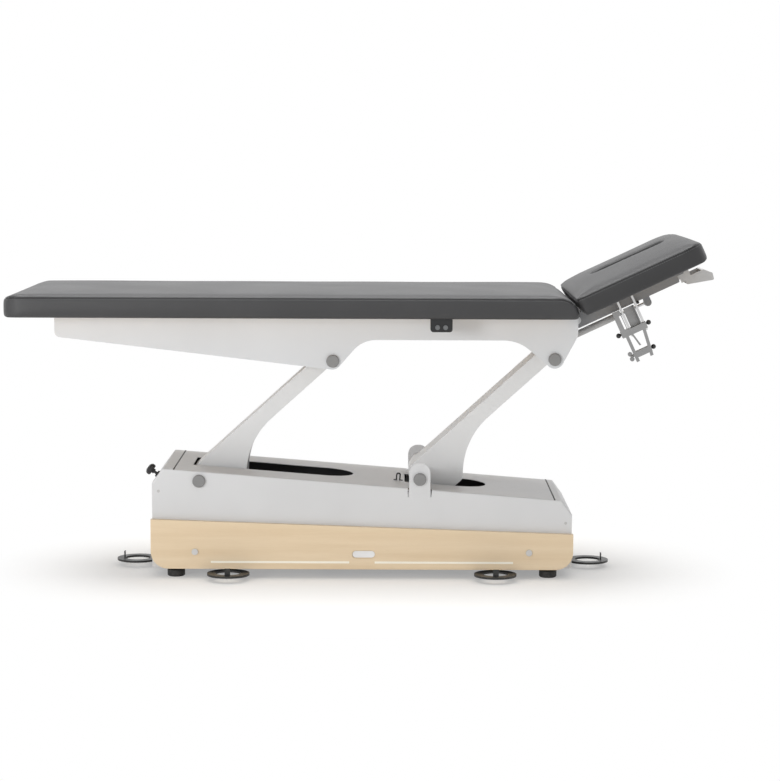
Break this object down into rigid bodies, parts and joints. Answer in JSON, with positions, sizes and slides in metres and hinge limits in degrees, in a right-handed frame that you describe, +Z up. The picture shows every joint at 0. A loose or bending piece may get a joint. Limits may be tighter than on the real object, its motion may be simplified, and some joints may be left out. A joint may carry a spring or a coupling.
{
  "type": "massage table",
  "caption": "Electric massage table with a folded-sheet base, wooden side panels, two parallel lift arms, a long flat cushion and a tilting head section.",
  "frame": {"origin": "on the floor under the middle of the table's overall length and width, midway between the rubber feet across the table", "axes": "+X along the table towards the head section, +Y away from the side with the switch box, +Z up"},
  "size_m": [1.9883, 0.65, 0.9623],
  "materials": {
    "shell_paint": "satin powder coat",
    "deck_paint": "satin powder coat",
    "chassis_paint": "matt powder coat",
    "arm_paint": "satin powder coat",
    "bright_steel": "brushed",
    "cap_plastic": "satin",
    "bush_plastic": "plain",
    "pale_wood": "clear lacquer",
    "inlay_wood": "clear lacquer",
    "board_wood": "raw plywood",
    "upholstery": "soft grained cover",
    "foot_rubber": "matt",
    "dark_plastic": "fine texture",
    "black_paint": "satin",
    "button_plastic": "satin",
    "grey_case": "fine texture",
    "badge_metal": "brushed"
  },
  "bodies": {
    "base": {"base_shell": "shell_paint", "foot_end_cover": "shell_paint", "head_end_cover": "shell_paint", "chassis_frame": "chassis_paint", "foot_pivot_plates": "chassis_paint", "head_pivot_plates": "chassis_paint", "wood_panel_front": "pale_wood", "wood_panel_rear": "pale_wood", "inlay_strips": "inlay_wood", "badge_plate": "badge_metal", "panel_bolts": "bright_steel", "cover_screws": "bright_steel", "rubber_foot_1": "foot_rubber", "rubber_foot_2": "foot_rubber", "rubber_foot_3": "foot_rubber", "rubber_foot_4": "foot_rubber", "base_shafts": "bright_steel", "base_pivot_caps": "cap_plastic", "control_unit": "grey_case", "mains_inlet": "dark_plastic", "lock_knob_bush": "dark_plastic", "cable_arch": "dark_plastic", "foot_ring_brackets": "black_paint"},
    "foot_arm": {"foot_arm": "arm_paint", "foot_arm_bushes": "bush_plastic"},
    "head_arm": {"head_arm": "arm_paint", "head_arm_bushes": "bush_plastic"},
    "deck": {"deck_plate_front": "deck_paint", "deck_plate_rear": "deck_paint", "deck_crossbars": "deck_paint", "deck_shafts": "bright_steel", "deck_pivot_caps": "cap_plastic", "main_board": "board_wood", "main_cushion": "upholstery", "switch_box": "dark_plastic", "hinge_brackets": "bright_steel"},
    "head": {"head_frame": "arm_paint", "head_board": "board_wood", "head_cushion": "upholstery", "hanger_bars": "bright_steel"},
    "actuator_housing": {"actuator_housing": "grey_case"},
    "actuator_rod": {"actuator_rod": "bright_steel"},
    "gas_spring_cylinder": {"gas_spring_cylinder": "black_paint"},
    "gas_spring_rod": {"gas_spring_rod": "bright_steel"},
    "release_lever": {"release_lever": "arm_paint"},
    "support_carriage": {"support_carriage": "bright_steel"},
    "clamp_knob_1": {"clamp_knob_1": "dark_plastic"},
    "clamp_knob_2": {"clamp_knob_2": "dark_plastic"},
    "clamp_knob_3": {"clamp_knob_3": "dark_plastic"},
    "clamp_knob_4": {"clamp_knob_4": "dark_plastic"},
    "wing_screw": {"wing_screw": "bright_steel"},
    "lock_knob": {"lock_knob": "dark_plastic"},
    "up_button": {"up_button": "button_plastic"},
    "down_button": {"down_button": "button_plastic"},
    "foot_ring_1": {"foot_ring_1": "black_paint"},
    "foot_ring_2": {"foot_ring_2": "black_paint"},
    "foot_ring_3": {"foot_ring_3": "black_paint"},
    "foot_ring_4": {"foot_ring_4": "black_paint"},
    "foot_ring_5": {"foot_ring_5": "black_paint"},
    "foot_ring_6": {"foot_ring_6": "black_paint"}
  },
  "joints": [
    {"name": "lift", "type": "hinge", "parent": "base", "child": "foot_arm", "pos_m": [-0.462, 0, 0.2765], "axis": [0, -1, 0], "range_deg": [-40, 20]},
    {"name": "head_arm_pivot", "type": "hinge", "parent": "base", "child": "head_arm", "pos_m": [0.163, 0, 0.2835], "axis": [0, -1, 0], "range_deg": [-40, 20]},
    {"name": "deck_level", "type": "hinge", "parent": "foot_arm", "child": "deck", "pos_m": [-0.08398, 0, 0.61855], "axis": [0, -1, 0], "range_deg": [-20, 40]},
    {"name": "actuator_swing", "type": "hinge", "parent": "base", "child": "actuator_housing", "pos_m": [-0.11, 0, 0.19], "axis": [0, -1, 0], "range_deg": [-3.3, 1.8]},
    {"name": "actuator_stroke", "type": "slide", "parent": "actuator_housing", "child": "actuator_rod", "axis": [0.9932, 0, 0.1168], "range_m": [-0.046, 0.024]},
    {"name": "head_tilt", "type": "hinge", "parent": "deck", "child": "head", "pos_m": [0.60402, 0, 0.73355], "axis": [0, -1, 0], "range_deg": [-55, 5]},
    {"name": "gas_spring_swing", "type": "hinge", "parent": "deck", "child": "gas_spring_cylinder", "pos_m": [0.58942, -0.125, 0.68205], "axis": [0, -1, 0], "range_deg": [-51, 5]},
    {"name": "gas_spring_stroke", "type": "slide", "parent": "gas_spring_cylinder", "child": "gas_spring_rod", "axis": [0.9063, 0, 0.4226], "range_m": [-0.048, 0.005]},
    {"name": "release", "type": "hinge", "parent": "head", "child": "release_lever", "pos_m": [0.90648, 0, 0.86576], "axis": [0, -1, 0], "range_deg": [0, 8], "stiffness_Nm_per_rad": 6, "springref_deg": -5.73},
    {"name": "support_height", "type": "slide", "parent": "head", "child": "support_carriage", "axis": [-0.4226, 0, 0.9063], "range_m": [-0.008, 0.036]},
    {"name": "clamp_knob_1_turn", "type": "hinge", "parent": "support_carriage", "child": "clamp_knob_1", "pos_m": [0.80024, -0.172, 0.72684], "axis": [0.9063, 0, 0.4226], "range_deg": [0, 180]},
    {"name": "clamp_knob_2_turn", "type": "hinge", "parent": "support_carriage", "child": "clamp_knob_2", "pos_m": [0.72773, -0.172, 0.69303], "axis": [0.9063, 0, 0.4226], "range_deg": [0, 180]},
    {"name": "clamp_knob_3_turn", "type": "hinge", "parent": "support_carriage", "child": "clamp_knob_3", "pos_m": [0.81559, -0.172, 0.65842], "axis": [0.9063, 0, 0.4226], "range_deg": [0, 180]},
    {"name": "clamp_knob_4_turn", "type": "hinge", "parent": "head", "child": "clamp_knob_4", "pos_m": [0.77159, -0.169, 0.78355], "axis": [0.9063, 0, 0.4226], "range_deg": [0, 180]},
    {"name": "wing_screw_turn", "type": "hinge", "parent": "support_carriage", "child": "wing_screw", "pos_m": [0.76121, -0.172, 0.63307], "axis": [0.9063, 0, 0.4226], "range_deg": [0, 180]},
    {"name": "lock", "type": "slide", "parent": "base", "child": "lock_knob", "axis": [0.807, 0, -0.5905], "range_m": [0, 0.006]},
    {"name": "foot_ring_1_press", "type": "hinge", "parent": "base", "child": "foot_ring_1", "pos_m": [-0.527, 0, 0.024], "axis": [0, -1, 0], "range_deg": [-3, 3], "stiffness_Nm_per_rad": 40},
    {"name": "foot_ring_2_press", "type": "hinge", "parent": "base", "child": "foot_ring_2", "pos_m": [0.527, 0, 0.024], "axis": [0, 1, 0], "range_deg": [-3, 3], "stiffness_Nm_per_rad": 40},
    {"name": "foot_ring_3_press", "type": "hinge", "parent": "base", "child": "foot_ring_3", "pos_m": [-0.377, -0.11, 0.024], "axis": [1, 0, 0], "range_deg": [-3, 3], "stiffness_Nm_per_rad": 40},
    {"name": "foot_ring_4_press", "type": "hinge", "parent": "base", "child": "foot_ring_4", "pos_m": [0.377, -0.11, 0.024], "axis": [1, 0, 0], "range_deg": [-3, 3], "stiffness_Nm_per_rad": 40},
    {"name": "foot_ring_5_press", "type": "hinge", "parent": "base", "child": "foot_ring_5", "pos_m": [-0.377, 0.11, 0.024], "axis": [-1, 0, 0], "range_deg": [-3, 3], "stiffness_Nm_per_rad": 40},
    {"name": "foot_ring_6_press", "type": "hinge", "parent": "base", "child": "foot_ring_6", "pos_m": [0.377, 0.11, 0.024], "axis": [-1, 0, 0], "range_deg": [-3, 3], "stiffness_Nm_per_rad": 40},
    {"name": "up_press", "type": "slide", "parent": "deck", "child": "up_button", "axis": [0, 1, 0], "range_m": [0, 0.0015], "stiffness_N_per_m": 600, "springref_m": -0.0005},
    {"name": "down_press", "type": "slide", "parent": "deck", "child": "down_button", "axis": [0, 1, 0], "range_m": [0, 0.0015], "stiffness_N_per_m": 600, "springref_m": -0.0005}
  ],
  "couplings": [
    {"joint": "head_arm_pivot", "follows": "lift", "ratio": 1},
    {"joint": "deck_level", "follows": "lift", "ratio": -1},
    {"joint": "actuator_swing", "follows": "lift", "ratio": 0.07712},
    {"joint": "actuator_stroke", "follows": "lift", "m_per_rad": 0.0638},
    {"joint": "gas_spring_swing", "follows": "head_tilt", "ratio": 0.9199},
    {"joint": "gas_spring_stroke", "follows": "head_tilt", "m_per_rad": 0.048704}
  ]
}
